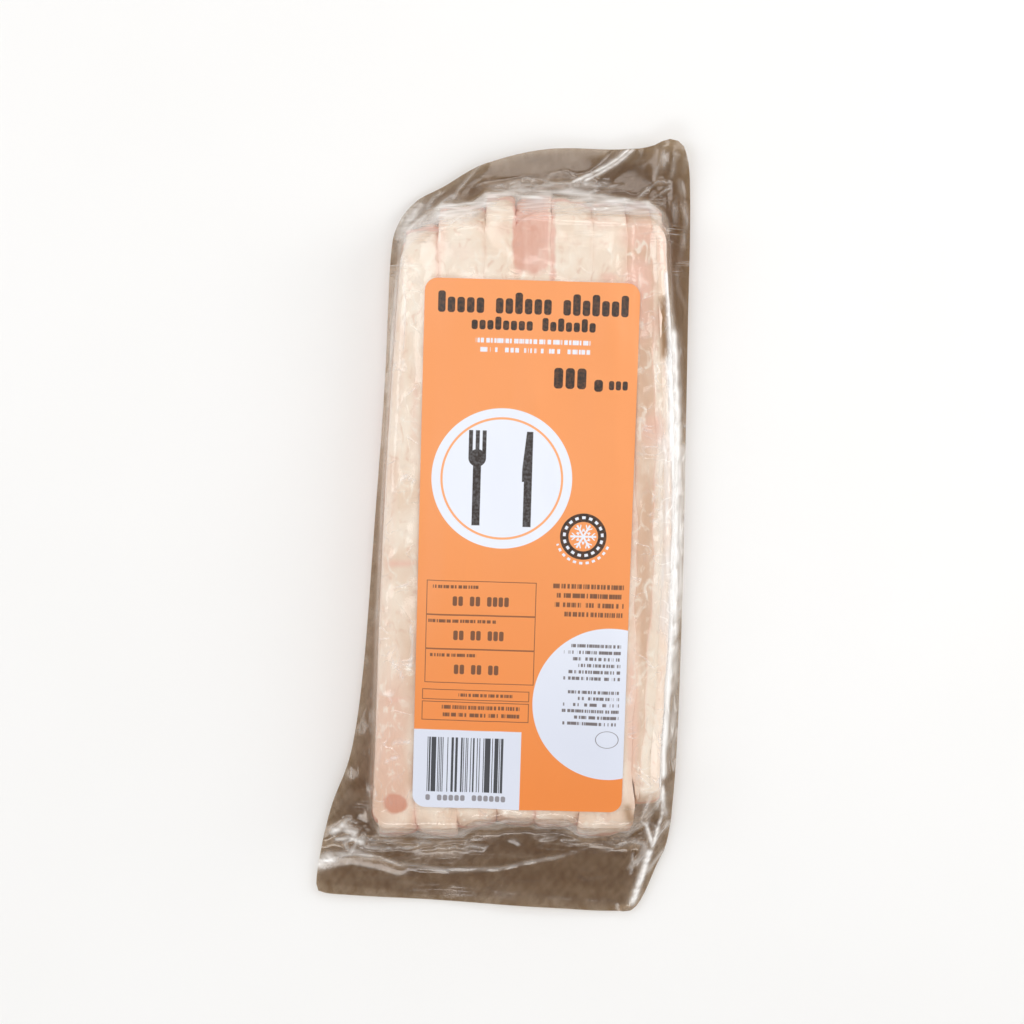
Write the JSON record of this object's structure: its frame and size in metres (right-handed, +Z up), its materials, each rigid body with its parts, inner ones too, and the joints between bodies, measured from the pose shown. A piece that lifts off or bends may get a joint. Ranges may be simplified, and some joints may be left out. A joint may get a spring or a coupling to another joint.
{
  "type": "vacuum pack of sliced pork belly",
  "caption": "Clear vacuum pack of long pork belly slices standing side by side, fat edge up, with a wide loose film margin at both ends and a long printed sticker on top.",
  "frame": {"origin": "centre of the pack's outline, on the surface that it lies on", "axes": "+X across the slices, +Y along them towards the head of the label, +Z up out of the label"},
  "size_m": [0.1561, 0.3225, 0.0302],
  "materials": {
    "film": "clear glossy vacuum film, creased and clinging",
    "fat": "cream pork fat with pink lean, moist under the film",
    "label": "satin printed sticker, orange and white"
  },
  "bodies": {
    "root": {"pouch": "film", "label": "label"}
  },
  "joints": []
}
